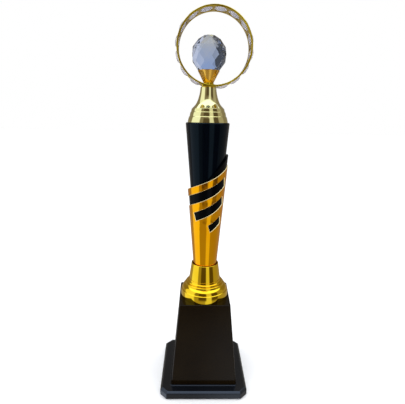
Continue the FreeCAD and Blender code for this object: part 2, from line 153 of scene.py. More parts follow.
def outline(*steps, bevel=0.15):
    """Closed outline in millimetres: points, and (middle, end) pairs for arcs, with eased corners."""
    points = [steps[0]]
    for step in steps[1:]:
        if isinstance(step[0], tuple):
            points += arc(points[-1], step[0], step[1])
        else:
            points.append(step)
    eased = []
    count = len(points)
    for index in range(count):
        here = Vector(points[index])
        before = Vector(points[index - 1])
        after = Vector(points[(index + 1) % count])
        back, ahead = before - here, after - here
        turn = math.pi - back.angle(ahead)
        if turn < math.radians(22):
            eased.append(tuple(here))
            continue
        reach = min(bevel, back.length * 0.45, ahead.length * 0.45)
        start = here + back.normalized() * reach
        end = here + ahead.normalized() * reach
        for step in range(4):
            t = step / 3
            eased.append(tuple(start * (1 - t) ** 2 + here * 2 * t * (1 - t) + end * t ** 2))
    return eased


def curve_through(points, steps=6):
    """Smooth run through points (Catmull-Rom), ends included."""
    run = [Vector(point) for point in points]
    padded = [run[0] * 2 - run[1]] + run + [run[-1] * 2 - run[-2]]
    result = []
    for index in range(1, len(padded) - 2):
        p0, p1, p2, p3 = padded[index - 1:index + 3]
        for step in range(steps):
            t = step / steps
            result.append(tuple(0.5 * (2 * p1 + (p2 - p0) * t + (2 * p0 - 5 * p1 + 4 * p2 - p3) * t ** 2
                                       + (3 * p1 - p0 - 3 * p2 + p3) * t ** 3)))
    result.append(tuple(run[-1]))
    return result


def rounded_ring(half, corner, height, per_corner):
    """Points of a level square ring with rounded corners; corner equal to half makes a circle."""
    inset = half - corner
    points = []
    for quarter in range(4):
        base = quarter * math.pi / 2
        cx = inset * (math.cos(base) - math.sin(base))
        cy = inset * (math.sin(base) + math.cos(base))
        for step in range(per_corner):
            turn = base + math.pi / 2 * (step + 0.5) / per_corner
            points.append(Vector((cx + corner * math.cos(turn), cy + corner * math.sin(turn), height)))
    return points


def clipped_ring(half, cut, height, per_corner):
    """Points of a level square ring with its corners cut off, crowded at the ends of each cut."""
    points = []
    for quarter in range(4):
        base = quarter * math.pi / 2
        spin = Matrix.Rotation(base, 3, "Z")
        start = Vector((half, half - cut, height))
        end = Vector((half - cut, half, height))
        before = Vector((half, half - cut - CUT_EASE, height))
        after = Vector((half - cut - CUT_EASE, half, height))
        near, far = start.lerp(end, CUT_EASE / cut), end.lerp(start, CUT_EASE / cut)
        bend = per_corner // 2
        for bend_from, bend_over, bend_to in ((before, start, near), (far, end, after)):
            for step in range(bend):
                t = step / (bend - 1)
                bent = bend_from * (1 - t) ** 2 + bend_over * 2 * t * (1 - t) + bend_to * t ** 2
                points.append(spin @ bent)
    return points


def skin_rings(work, rings, closed_loop=True):
    """Join rings of equal length with quads; a closed loop makes a solid with a hole through it."""
    rows = [[work.verts.new(point) for point in ring] for ring in rings]
    pairs = list(zip(rows, rows[1:]))
    if closed_loop:
        pairs.append((rows[-1], rows[0]))
    for lower, upper in pairs:
        for index in range(len(lower)):
            following = (index + 1) % len(lower)
            work.faces.new((lower[index], lower[following], upper[following], upper[index]))
    return rows


def lathe(name, profile, base=0.0, segments=192):
    """Turned solid about Z from a closed (radius, height) outline in millimetres above a base in metres."""
    def build(work):
        rings = [rounded_ring(radius * MM, radius * MM, base + height * MM, segments // 4)
                 for radius, height in profile]
        skin_rings(work, rings)
    return make_object(name, mesh_from(name, build))


def square_stack(name, levels, per_corner=14):
    """Square hollow solid from a closed loop of (half side, corner radius, height) in metres."""
    def build(work):
        skin_rings(work, [rounded_ring(half, corner, height, per_corner) for half, corner, height in levels])
    return make_object(name, mesh_from(name, build))


# ---- materials ------------------------------------------------------------------------------

class Nodes:
    """Short calls for one node tree."""

    def __init__(self, tree):
        self.tree = tree

    def add(self, kind, **settings):
        node = self.tree.nodes.new(kind)
        for key, value in settings.items():
            setattr(node, key, value)
        return node

    def link(self, source, target):
        self.tree.links.new(source, target)

    def ramp(self, source, stops, mode="LINEAR"):
        node = self.add("ShaderNodeValToRGB")
        node.color_ramp.interpolation = mode
        elements = node.color_ramp.elements
        while len(elements) < len(stops):
            elements.new(0.5)
        for element, (place, colour) in zip(elements, stops):
            element.position = place
            element.color = colour if len(colour) == 4 else (*colour, 1)
        self.link(source, node.inputs["Fac"])
        return node.outputs["Color"]

    def noise(self, vector, scale, detail=3.0, roughness=0.5):
        node = self.add("ShaderNodeTexNoise")
        node.inputs["Scale"].default_value = scale
        node.inputs["Detail"].default_value = detail
        node.inputs["Roughness"].default_value = roughness
        self.link(vector, node.inputs["Vector"])
        return node.outputs["Fac"]

    def stretched(self, scale):
        """Object coordinates scaled along each axis."""
        place = self.add("ShaderNodeTexCoord")
        mapping = self.add("ShaderNodeMapping")
        mapping.inputs["Scale"].default_value = scale
        self.link(place.outputs["Object"], mapping.inputs["Vector"])
        return mapping.outputs["Vector"]

    def span(self, source, low_value, high_value):
        node = self.add("ShaderNodeMapRange")
        node.inputs["To Min"].default_value = low_value
        node.inputs["To Max"].default_value = high_value
        self.link(source, node.inputs["Value"])
        return node.outputs["Result"]

    def bump(self, height, strength, distance):
        node = self.add("ShaderNodeBump")
        node.inputs["Strength"].default_value = strength
        node.inputs["Distance"].default_value = distance
        self.link(height, node.inputs["Height"])
        return node.outputs["Normal"]


def new_material(name):
    """Material with an empty tree but for one Principled shader and its output."""
    material = bpy.data.materials.new(name)
    material.use_nodes = True
    nodes = Nodes(material.node_tree)
    shader = material.node_tree.nodes["Principled BSDF"]
    return material, nodes, shader


def plated_gold(name, deep, pale, roughness, streak, wave, dented_from=None):
    """Mirror-like gold plating: drifting tint, fine polishing marks, and dents above a height if given."""
    material, nodes, shader = new_material(name)
    shader.inputs["Metallic"].default_value = 1.0
    marks = nodes.noise(nodes.stretched(streak), 9.0, 4.0, 0.6)
    drift = nodes.noise(nodes.stretched((1, 1, 1)), 28.0, 2.0)
    nodes.link(nodes.ramp(drift, [(0.3, deep), (0.7, pale)]), shader.inputs["Base Color"])
    nodes.link(nodes.span(marks, roughness * 0.6, roughness * 1.5), shader.inputs["Roughness"])
    swell = nodes.noise(nodes.stretched((1, 1, 0.35)), 70.0, 1.0)
    ripple = nodes.bump(swell, 1.0, wave)
    if dented_from is not None:
        split = nodes.add("ShaderNodeSeparateXYZ")
        nodes.link(nodes.stretched((1, 1, 1)), split.inputs["Vector"])
        zone = nodes.add("ShaderNodeMapRange")
        zone.inputs["From Min"].default_value = dented_from
        zone.inputs["From Max"].default_value = dented_from + 0.02
        nodes.link(split.outputs["Z"], zone.inputs["Value"])
        dents = nodes.bump(nodes.noise(nodes.stretched((1, 1, 0.8)), 75.0, 1.5), 1.0, 0.0007)
        blend = nodes.add("ShaderNodeMix", data_type="VECTOR")
        nodes.link(zone.outputs["Result"], blend.inputs["Factor"])
        nodes.link(ripple, blend.inputs["A"])
        nodes.link(dents, blend.inputs["B"])
        ripple = blend.outputs["Result"]
    nodes.link(ripple, shader.inputs["Normal"])
    return material


def gloss_black(name, dark, light, roughness, specular, sheen=(1, 1, 1), streak=(1, 1, 1)):
    """Black lacquered moulding: faint colour drift, soft smudges and a slight orange-peel surface."""
    material, nodes, shader = new_material(name)
    shader.inputs["Specular IOR Level"].default_value = specular
    shader.inputs["Specular Tint"].default_value = (*sheen, 1)
    drift = nodes.noise(nodes.stretched(streak), 24.0, 3.0)
    nodes.link(nodes.ramp(drift, [(0.35, dark), (0.7, light)]), shader.inputs["Base Color"])
    smudge = nodes.noise(nodes.stretched((1, 1, 1)), 90.0, 4.0, 0.65)
    nodes.link(nodes.span(smudge, roughness * 0.6, roughness * 1.6), shader.inputs["Roughness"])
    peel = nodes.noise(nodes.stretched((1, 1, 1)), 500.0, 2.0)
    nodes.link(nodes.bump(peel, 0.05, 0.00015), shader.inputs["Normal"])
    return material


def plain_steel(name):
    """Zinc-plated steel of the hidden fasteners, dulled in patches."""
    material, nodes, shader = new_material(name)
    shader.inputs["Metallic"].default_value = 1.0
    grain = nodes.noise(nodes.stretched((1, 1, 6)), 260.0, 4.0)
    nodes.link(nodes.ramp(grain, [(0.3, (0.42, 0.42, 0.44)), (0.7, (0.64, 0.64, 0.63))]),
               shader.inputs["Base Color"])
    nodes.link(nodes.span(grain, 0.22, 0.45), shader.inputs["Roughness"])
    nodes.link(nodes.bump(grain, 0.1, 0.0002), shader.inputs["Normal"])
    return material


def cast_iron(name):
    """Rough dark casting."""
    material, nodes, shader = new_material(name)
    shader.inputs["Metallic"].default_value = 0.7
    grain = nodes.noise(nodes.stretched((1, 1, 1)), 420.0, 6.0, 0.7)
    nodes.link(nodes.ramp(grain, [(0.3, (0.05, 0.05, 0.05)), (0.7, (0.13, 0.12, 0.11))]),
               shader.inputs["Base Color"])
    nodes.link(nodes.span(grain, 0.55, 0.85), shader.inputs["Roughness"])
    nodes.link(nodes.bump(grain, 0.6, 0.0006), shader.inputs["Normal"])
    return material


def cut_edge_painted_highlight(name):
    """Pale satin edge where the sleeve was cut, lightly speckled; the paleness is a painted highlight along
    the slot edges.
    """
    material, nodes, shader = new_material(name)
    speckle = nodes.noise(nodes.stretched((1, 1, 1)), 300.0, 3.0)
    nodes.link(nodes.ramp(speckle, [(0.3, (0.86, 0.70, 0.30)), (0.7, (0.98, 0.88, 0.52))]),
               shader.inputs["Base Color"])
    nodes.link(nodes.span(speckle, 0.3, 0.5), shader.inputs["Roughness"])
    nodes.link(nodes.bump(speckle, 0.2, 0.0001), shader.inputs["Normal"])
    return material


def foam_pad(name):
    """Closed-cell black foam, with painted shade darkening the hollows of its cells."""
    material, nodes, shader = new_material(name)
    shader.inputs["Specular IOR Level"].default_value = 0.2
    cells = nodes.add("ShaderNodeTexVoronoi")
    cells.inputs["Scale"].default_value = 1400.0
    nodes.link(nodes.stretched((1, 1, 1)), cells.inputs["Vector"])
    depth = cells.outputs["Distance"]
    # Darker where the cells sink: painted shade in the hollows.
    nodes.link(nodes.ramp(depth, [(0.0, (0.01, 0.01, 0.01)), (0.8, (0.045, 0.045, 0.05))]),
               shader.inputs["Base Color"])
    nodes.link(nodes.span(depth, 0.75, 0.95), shader.inputs["Roughness"])
    nodes.link(nodes.bump(depth, 0.5, 0.0004), shader.inputs["Normal"])
    return material


def cut_glass(name, cool, warm, ior, clarity):
    """Cut glass with a faint tint that drifts through the piece; the less clear, the milkier."""
    material, nodes, shader = new_material(name)
    shader.inputs["Transmission Weight"].default_value = clarity
    shader.inputs["IOR"].default_value = ior
    tint = nodes.noise(nodes.stretched((1, 1, 1)), 45.0, 2.0)
    nodes.link(nodes.ramp(tint, [(0.35, cool), (0.65, warm)]), shader.inputs["Base Color"])
    nodes.link(nodes.span(tint, 0.0, 0.03), shader.inputs["Roughness"])
    return material


def pale_floor():
    """Matt pale floor."""
    material, nodes, shader = new_material("pale_floor")
    shader.inputs["Specular IOR Level"].default_value = 0.0
    grain = nodes.noise(nodes.stretched((1, 1, 1)), 6.0, 2.0)
    paler = tuple(min(1.0, level + 0.006) for level in PALE)
    darker = tuple(level - 0.006 for level in PALE)
    nodes.link(nodes.ramp(grain, [(0.3, darker), (0.7, paler)]), shader.inputs["Base Color"])
    nodes.link(nodes.span(grain, 0.7, 0.8), shader.inputs["Roughness"])
    return material


SLEEVE_GOLD = plated_gold("sleeve_gold", (0.94, 0.37, 0.002), (0.98, 0.44, 0.004), 0.035,
                          (60, 60, 1.2), 0.00006, dented_from=0.198)
FOOT_GOLD = plated_gold("foot_gold", (0.88, 0.50, 0.008), (0.97, 0.66, 0.03), 0.025, (6, 6, 120), 0.0001)
NECK_GOLD = plated_gold("neck_gold", (0.84, 0.74, 0.30), (0.95, 0.88, 0.44), 0.03, (6, 6, 120), 0.0001)
HOOP_GOLD = plated_gold("hoop_gold", (0.52, 0.34, 0.008), (0.82, 0.60, 0.05), 0.05, (30, 30, 30), 0.0002)
CUP_GOLD = plated_gold("cup_gold", (0.78, 0.42, 0.06), (0.88, 0.52, 0.09), 0.20, (20, 20, 20), 0.0001)
SLAB_BLACK = gloss_black("slab_black", (0.002, 0.0024, 0.0034), (0.004, 0.0046, 0.006), 0.13, 0.60,
                         (0.80, 0.88, 1.0))
BLOCK_BLACK = gloss_black("block_black", (0.0055, 0.0030, 0.0010), (0.0080, 0.0046, 0.0014), 0.12, 0.16)
COLUMN_BLACK = gloss_black("column_black", (0.0003, 0.0008, 0.0020), (0.0006, 0.0012, 0.0030), 0.09, 0.12,
                           (0.55, 0.86, 1.0), streak=(40, 40, 1.0))
LINER_BLACK = gloss_black("liner_black", (0.0003, 0.0004, 0.0006), (0.0006, 0.0007, 0.0010), 0.20, 0.06)
# Pale rim material for the sleeve's cut edges: a painted highlight.
CUT_EDGE_PAINTED_HIGHLIGHT = cut_edge_painted_highlight("cut_edge_painted_highlight")
PLUG_BLACK = gloss_black("plug_black", (0.012, 0.012, 0.012), (0.02, 0.02, 0.02), 0.5, 0.3)
STEEL = plain_steel("plain_steel")
IRON = cast_iron("cast_iron")
FOAM = foam_pad("foam_pad")
CRYSTAL = cut_glass("crystal", (0.93, 0.95, 1.0), (0.99, 0.97, 1.0), 1.27, 1.0)
STONE = cut_glass("stone", (0.80, 0.76, 0.82), (0.95, 0.88, 0.88), 1.58, 0.6)


# ---- base -----------------------------------------------------------------------------------

SLAB_HALF = half_width("base_slab")
SLAB_BOTTOM = low("base_slab")
BLOCK_FOOT = half_width("plinth_block")
BLOCK_HEAD = BLOCK_FOOT - 9.8 * MM
WALL = 3.0 * MM


def base_slab():
    """Hollow slab with cut corners, a chamfered top edge and the low lip round the block."""
    cut = 8.5 * MM
    chamfer = 2.7 * MM
    ease = 0.35 * MM
    lip_top = high("base_slab")
    lip_out = BLOCK_FOOT + 1.5 * MM
    lip_corner = 3.7 * MM
    ceiling = SLAB_TOP - WALL
    count = 12

    def clipped(inset, height):
        return clipped_ring(SLAB_HALF - inset, cut - inset * (2 - math.sqrt(2)), height, count)

    def rounded(half, corner, height):
        return rounded_ring(half, corner, height, count)

    rings = [
        clipped(WALL, SLAB_BOTTOM), clipped(ease, SLAB_BOTTOM), clipped(0, SLAB_BOTTOM + ease),
        clipped(0, SLAB_TOP - chamfer - ease), clipped(0.3 * ease, SLAB_TOP - chamfer + 0.3 * ease),
        clipped(chamfer - 0.7 * ease, SLAB_TOP - 0.7 * ease), clipped(chamfer + 0.6 * ease, SLAB_TOP),
        rounded(lip_out + 0.5 * ease, lip_corner + 0.5 * ease, SLAB_TOP),
        rounded(lip_out, lip_corner, SLAB_TOP + 0.5 * ease),
        rounded(lip_out, lip_corner, lip_top - 0.6 * ease),
        rounded(lip_out - 0.6 * ease, lip_corner - 0.6 * ease, lip_top),
        rounded(BLOCK_FOOT + 0.7 * ease, 2.5 * MM, lip_top),
        rounded(BLOCK_FOOT + 0.1 * ease, 2.3 * MM, lip_top - 0.6 * ease),
        rounded(BLOCK_FOOT + 0.1 * ease, 2.3 * MM, SLAB_TOP),
        rounded(ROD_HOLE, ROD_HOLE, SLAB_TOP), rounded(ROD_HOLE, ROD_HOLE, ceiling), clipped(WALL, ceiling),
    ]
    shell = mesh_from("base_slab_shell", lambda work: skin_rings(work, rings))
    return finish_piece(make_object("base_slab_shell", shell), SLAB_BLACK, "base_slab")


def plinth_block():
    """Tapering hollow block with rounded upright corners and an eased top edge."""
    corner = 2.2 * MM
    ease = 1.0 * MM
    rise = BLOCK_TOP - SLAB_TOP
    lean = (BLOCK_FOOT - BLOCK_HEAD) / rise
    levels = [(BLOCK_FOOT - WALL, 1.0 * MM, SLAB_TOP), (BLOCK_FOOT - 0.2 * MM, corner, SLAB_TOP)]
    for step in range(17):
        height = SLAB_TOP + 0.2 * MM + (rise - ease - 0.2 * MM) * step / 16
        levels.append((BLOCK_FOOT - lean * (height - SLAB_TOP), corner, height))
    shoulder = levels[-1][0]
    for step in range(1, 7):
        turn = math.pi / 2 * step / 6
        inset = ease * (1 - math.cos(turn))
        levels.append((shoulder - inset, corner - 0.5 * inset, BLOCK_TOP - ease + ease * math.sin(turn)))
    ceiling = BLOCK_TOP - WALL
    levels += [
        (shoulder - 4 * ease, corner, BLOCK_TOP),
        (ROD_HOLE, ROD_HOLE, BLOCK_TOP),
        (ROD_HOLE, ROD_HOLE, ceiling),
        (BLOCK_HEAD - WALL, 1.0 * MM, ceiling),
    ]
    piece = square_stack("plinth_block_shell", levels)
    return finish_piece(piece, BLOCK_BLACK, "plinth_block")


# ---- foot -----------------------------------------------------------------------------------

FOOT_SEAT = high("foot_flange")


def foot_flange():
    """Flared foot: upright band, ogee and two rolled steps; heights count from the block's top."""
    seat = (FOOT_SEAT - BLOCK_TOP) / MM
    edge = half_width("foot_flange") / MM
    profile = outline(
        (3.2, seat), (3.2, seat - 2.2), (17.5, seat - 2.2), (21.0, 16.1), (26.5, 9.6), (28.4, 0.0),
        (edge, 0.0), (edge, 1.0), ((edge - 0.1, 5.0), (edge - 0.5, 8.8)),
        ((edge - 0.8, 9.6), (edge - 1.6, 10.0)), ((27.9, 13.2), (24.8, 15.8)), (24.4, 16.6),
        ((24.7, 17.6), (23.9, 18.5)), (22.4, 18.7), ((22.7, 19.8), (22.0, 20.9)),
        (20.8, 21.2), (20.6, seat),
    )
    piece = lathe("foot_flange_spun", profile, BLOCK_TOP)
    return finish_piece(piece, FOOT_GOLD, "foot_flange", sharp_angle=50)


def foot_cup():
    """Open cup with a rolled rim; heights count from its seat on the flange."""
    rim = (CUP_RIM - FOOT_SEAT) / MM
    floor = (CUP_FLOOR - FOOT_SEAT) / MM
    profile = outline(
        (3.2, 0.0), (20.0, 0.0), ((19.1, 7.0), (17.2, rim - 0.8)), ((16.8, rim), (16.0, rim - 0.8)),
        ((17.6, 9.0), (18.2, floor)), (3.2, floor),
    )
    piece = lathe("foot_cup_spun", profile, FOOT_SEAT)
    return finish_piece(piece, FOOT_GOLD, "foot_cup", sharp_angle=50)


# ---- column ---------------------------------------------------------------------------------

SLEEVE_EDGE = [
    (-110, 256.7), (-60, 261.7), (-20, 267.5), (20, 274.9), (60, 283.9),
    (95, 288.5), (130, 284.0), (180, 272.0), (225, 260.0),
]
LINER_EDGE = [
    (-110, 256.2), (-60, 261.0), (-20, 266.8), (2, 272.4), (29, 283.8), (57, 294.1),
    (95, 301.0), (130, 296.0), (180, 280.0), (225, 262.0),
]
EDGE_FRONT = 271.0
SLOTS = [(11, 57, 210.3, 8.7), (-43, 62, 233.7, 10.0), (-110, 63, 256.0, 10.8)]
SLOT_END_LEAN = math.radians(16)
SLOT_ROWS = 6
GAP_ROWS = 8
SLEEVE_RADIUS = 14.2
SLEEVE_RADIUS_AT = 165.0
COLUMN_TAPER = 0.0823
SLEEVE_WALL = 1.1
LINER_WALL = 1.3
CORE_WALL = 2.0


def sleeve_radius(height):
    """Outer radius of the sleeve at a height, both in millimetres."""
    return SLEEVE_RADIUS + COLUMN_TAPER * (height - SLEEVE_RADIUS_AT)


def edge_height(points, angle):
    """Height of a closed wavy edge at an angle: a smooth curve through (angle, height) points."""
    start = points[0][0]
    angle = start + (angle - start) % 360
    count = len(points)
    knots = [(points[i % count][0] + 360 * (i // count), points[i % count][1]) for i in range(-2, count + 3)]
    for index in range(1, len(knots) - 2):
        (a0, h0), (a1, h1), (a2, h2), (a3, h3) = knots[index - 1:index + 3]
        if a1 <= angle <= a2:
            break
    t = (angle - a1) / (a2 - a1)
    slope1 = (h2 - h0) / (a2 - a0) * (a2 - a1)
    slope2 = (h3 - h1) / (a3 - a1) * (a2 - a1)
    return ((2 * t ** 3 - 3 * t ** 2 + 1) * h1 + (t ** 3 - 2 * t ** 2 + t) * slope1
            + (3 * t ** 2 - 2 * t ** 3) * h2 + (t ** 3 - t ** 2) * slope2)


def on_cone(angle, height, inset):
    """Point on a skin of the column, in metres, from degrees round from the front and millimetres."""
    radius = (sleeve_radius(height) - inset) * MM
    turn = math.radians(angle)
    return Vector((radius * math.sin(turn), -radius * math.cos(turn), height * MM))


def sleeve_rows():
    """Rows of the sleeve from its foot up: (height above the shared wave, lean, slot or None).

    The first row is level. The rest follow the top edge's wave, so the slots' edges lie on rows.
    """
    rows = []
    for number, (*_, middle, tall) in enumerate(SLOTS):
        half = tall / 2
        for step in range(SLOT_ROWS + 1):
            rise = -half + tall * step / SLOT_ROWS
            rows.append((middle + rise, rise, number if step < SLOT_ROWS else None))
        following = SLOTS[number + 1][2] - SLOTS[number + 1][3] / 2 if number < 2 else EDGE_FRONT
        gap = following - (middle + half)
        lean_after = -SLOTS[number + 1][3] / 2 if number < 2 else 0.0
        for step in range(1, GAP_ROWS):
            share = step / GAP_ROWS
            rows.append((middle + half + gap * share, half + (lean_after - half) * share, None))
    rows.append((EDGE_FRONT, 0.0, None))
    return rows


def column_sleeve():
    """Gold sleeve: a sheet with slots left out, thickened inward, with its cut edges eased and painted pale
    as a highlight.
    """
    columns = 240
    step_angle = 360 / columns
    foot_rows = 36
    rows = sleeve_rows()
    floor = CUP_FLOOR / MM

    def build(work):
        grid = []
        for level in range(foot_rows):
            share = level / foot_rows
            line = []
            for column in range(columns):
                angle = -180 + column * step_angle
                wave = edge_height(SLEEVE_EDGE, angle) - EDGE_FRONT
                lowest = rows[0][0] + wave
                lean = share * rows[0][1] * math.tan(SLOT_END_LEAN) / math.radians(sleeve_radius(lowest))
                line.append(work.verts.new(on_cone(angle - lean, floor + (lowest - floor) * share, 0)))
            grid.append((line, None))
        for height, lean, slot in rows:
            line = []
            for column in range(columns):
                angle = -180 + column * step_angle
                tall = height + edge_height(SLEEVE_EDGE, angle) - EDGE_FRONT
                shift = lean * math.tan(SLOT_END_LEAN) / math.radians(sleeve_radius(tall))
                turned = angle - shift
                line.append(work.verts.new(on_cone(turned, tall, 0)))
            grid.append((line, slot))
        for (lower, slot), (upper, _) in zip(grid, grid[1:]):
            for column in range(columns):
                middle = -180 + (column + 0.5) * step_angle
                if slot is not None and SLOTS[slot][0] < middle < SLOTS[slot][1]:
                    continue
                following = (column + 1) % columns
                work.faces.new((lower[column], lower[following], upper[following], upper[column]))
        loose = [vert for vert in work.verts if not vert.link_faces]
        bmesh.ops.delete(work, geom=loose, context="VERTS")

    piece = make_object("column_sleeve_slotted", mesh_from("column_sleeve_slotted", build))
    skin = piece.modifiers.new("wall", "SOLIDIFY")
    skin.thickness = SLEEVE_WALL * MM
    skin.offset = -1
    # The rim faces take the next slot, the pale cut-edge material that paints their highlight.
    skin.material_offset_rim = 1
    ease = piece.modifiers.new("eased_edges", "BEVEL")
    ease.width = 0.46 * MM
    ease.segments = 3
    ease.limit_method = "ANGLE"
    ease.angle_limit = math.radians(50)
    finish_piece(piece, SLEEVE_GOLD, "column_sleeve", sharp_angle=60)
    piece.data.materials.append(CUT_EDGE_PAINTED_HIGHLIGHT)
    return piece


def column_liner():
    """Black liner inside the sleeve, with its own high wavy edge."""
    columns = 180
    levels = 60
    floor = CUP_FLOOR / MM

    def build(work):
        rings = []
        for level in range(levels + 1):
            share = level / levels
            ring = []
            for column in range(columns):
                angle = 360 * column / columns
                top = edge_height(LINER_EDGE, angle)
                ring.append(on_cone(angle, floor + (top - floor) * share, SLEEVE_WALL))
            rings.append(ring)
        skin_rings(work, rings, closed_loop=False)

    piece = make_object("column_liner_skin", mesh_from("column_liner_skin", build))
    skin = piece.modifiers.new("wall", "SOLIDIFY")
    skin.thickness = LINER_WALL * MM
    skin.offset = -1
    ease = piece.modifiers.new("eased_edges", "BEVEL")
    ease.width = 0.25 * MM
    ease.segments = 3
    ease.limit_method = "ANGLE"
    ease.angle_limit = math.radians(50)
    return finish_piece(piece, LINER_BLACK, "column_liner", sharp_angle=60)


def column_core():
    """Black conical core with a bevelled top corner."""
    inset = SLEEVE_WALL + LINER_WALL
    floor = CUP_FLOOR / MM
    top = COLUMN_TOP / MM
    foot = sleeve_radius(floor) - inset
    head = sleeve_radius(top) - inset
    rise = []
    for step in range(21):
        share = step / 20
        rise.append((foot + (head - COLUMN_TAPER - foot) * share, floor + (top - 1.0 - floor) * share))
    profile = outline((foot - CORE_WALL, floor), *rise, (head - 1.0, top), (head - CORE_WALL, top), bevel=0.3)
    piece = lathe("column_core_cone", profile)
    return finish_piece(piece, COLUMN_BLACK, "column_core", sharp_angle=50)


# ---- neck -----------------------------------------------------------------------------------

def bell_neck():
    """Spun bell: three stepped bands, then a flare up to the hoop's seat; heights from the column's top."""
    top = (BELL_TOP - COLUMN_TOP) / MM
    wide = half_width("bell_neck") / MM
    flare = curve_through([(18.4, 16.2), (14.4, 20.6), (12.2, 25.0), (10.7, 29.6), (9.7, 34.2), (9.0, top)])
    inner = curve_through([
        (7.4, top - 1.6), (8.1, 33.2), (9.1, 28.6), (10.6, 24.0), (12.8, 19.6), (16.8, 15.2),
    ])
    profile = outline(
        (wide - 1.8, 0.0), (wide, 0.0), (wide, 0.8), ((22.9, 3.9), (22.0, 6.8)), (21.4, 7.0),
        ((21.0, 9.5), (20.4, 11.9)), (19.8, 12.1), ((19.4, 14.0), (18.9, 15.9)), *flare,
        (3.2, top), (3.2, top - 1.6), *inner, bevel=0.25,
    )
    piece = lathe("bell_neck_spun", profile, COLUMN_TOP)
    return finish_piece(piece, NECK_GOLD, "bell_neck", sharp_angle=50)


# ---- hoop -----------------------------------------------------------------------------------

HOOP_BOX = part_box("hoop_frame")
HOOP_RIM = half_width("hoop_frame")
HOOP_X = (HOOP_BOX[0][0] + HOOP_BOX[1][0]) / 2
HOOP_Z = HOOP_BOX[1][2] - HOOP_RIM
HOOP_HALF_DEPTH = HOOP_BOX[1][1]
BAYS = 16
BAY_STEP = 360 / BAYS
FIRST_BAY = 8.65
SEAT_BAY = 8
BAND_INNER = HOOP_RIM - 2.0 * MM
BAND_OUTER = HOOP_RIM - 0.5 * MM
WINDOW_HALF_WIDTH = 6.9 * MM
WINDOW_HALF_DEPTH = 9.2 * MM
WINDOW_SQUARENESS = 2.8


def hoop_point(angle, radius, depth):
    """Point of the hoop: degrees clockwise from its top, distance from its axis, and depth."""
    turn = math.radians(angle)
    return Vector((HOOP_X + radius * math.sin(turn), depth, HOOP_Z + radius * math.cos(turn)))


def squared(value):
    """A sine or cosine pushed outward, which turns an oval into a fuller, squarer one."""
    return math.copysign(abs(value) ** (2 / WINDOW_SQUARENESS), value)


def bay_patch(work, centre, pierced):
    """One bay of the band as a sheet on its outer radius, with an oval window or without."""
    half_turn = BAY_STEP / 2
    half_depth = HOOP_HALF_DEPTH - 0.4 * MM
    sides = 8
    frame_points = []
    for index in range(4 * sides):
        side, step = divmod(index, sides)
        along_side = -1 + 2 * step / sides
        across, deep = [(1, along_side), (-along_side, 1), (-1, -along_side), (along_side, -1)][side]
        frame_points.append((across * half_turn, deep * half_depth))
    if not pierced:
        middle = work.verts.new(hoop_point(centre, BAND_OUTER, 0))
        ring = [work.verts.new(hoop_point(centre + a, BAND_OUTER, d)) for a, d in frame_points]
        for index in range(len(ring)):
            work.faces.new((middle, ring[index], ring[(index + 1) % len(ring)]))
        return
    reach = math.degrees(WINDOW_HALF_WIDTH / BAND_OUTER)
    rings = []
    for share in (0.0, 0.25, 0.6, 1.0):
        ring = []
        for a, d in frame_points:
            turn = math.atan2(d / half_depth, a / half_turn)
            oval = (reach * squared(math.cos(turn)), WINDOW_HALF_DEPTH * squared(math.sin(turn)))
            ring.append(hoop_point(centre + oval[0] + (a - oval[0]) * share, BAND_OUTER,
                                   oval[1] + (d - oval[1]) * share))
        rings.append(ring)
    skin_rings(work, rings, closed_loop=False)


def hoop_ring(work, radius, depth, thick, wide):
    """Rounded rim round one edge of the band."""
    rings = []
    for column in range(192):
        ring = []
        for step in range(12):
            turn = 2 * math.pi * (step + 0.5) / 12
            out = math.copysign(abs(math.cos(turn)) ** 0.7, math.cos(turn)) * thick / 2
            over = math.copysign(abs(math.sin(turn)) ** 0.7, math.sin(turn)) * wide / 2
            ring.append(hoop_point(360 * column / 192, radius + out, depth + over))
        rings.append(ring)
    skin_rings(work, rings)


def hoop_frame():
    """Pierced band, its two rims and the flat seat tab, in one piece."""
    def band(work):
        for bay in range(BAYS):
            bay_patch(work, FIRST_BAY + BAY_STEP * bay, bay != SEAT_BAY)
        bmesh.ops.remove_doubles(work, verts=work.verts, dist=0.02 * MM)

    piece = make_object("hoop_band", mesh_from("hoop_band", band))
    skin = piece.modifiers.new("wall", "SOLIDIFY")
    skin.thickness = BAND_OUTER - BAND_INNER
    skin.offset = -1
    ease = piece.modifiers.new("eased_edges", "BEVEL")
    ease.width = 0.3 * MM
    ease.segments = 3
    ease.limit_method = "ANGLE"
    ease.angle_limit = math.radians(50)
    finish_piece(piece, HOOP_GOLD, "hoop_frame", sharp_angle=60)

    def rims(work):
        thick = 1.9 * MM
        wide = 1.6 * MM
        for side in (-1, 1):
            hoop_ring(work, HOOP_RIM - thick / 2, side * (HOOP_HALF_DEPTH - wide / 2), thick, wide)

    edge = make_object("hoop_rims", mesh_from("hoop_rims", rims))
    finish_piece(edge, HOOP_GOLD, "hoop_frame", sharp_angle=70)

    def tab(work):
        half = 8.0 * MM
        deep = HOOP_HALF_DEPTH - 0.2 * MM
        rings = []
        ease_by = 0.25 * MM
        count = 12
        for inset, height in ((ease_by, BELL_TOP), (0, BELL_TOP + ease_by), (0, TAB_TOP - ease_by),
                              (ease_by, TAB_TOP)):
            ring = []
            for point in rounded_ring(1.0, 0.25, height, count):
                ring.append(Vector((point.x * (half - inset), point.y * (deep - inset), height)))
            rings.append(ring)
        rings.append(rounded_ring(ROD_HOLE, ROD_HOLE, TAB_TOP, count))
        rings.append(rounded_ring(ROD_HOLE, ROD_HOLE, BELL_TOP, count))
        skin_rings(work, rings)

    seat = make_object("hoop_seat_tab", mesh_from("hoop_seat_tab", tab))
    finish_piece(seat, HOOP_GOLD, "hoop_frame", sharp_angle=50)
    return [piece, edge, seat]


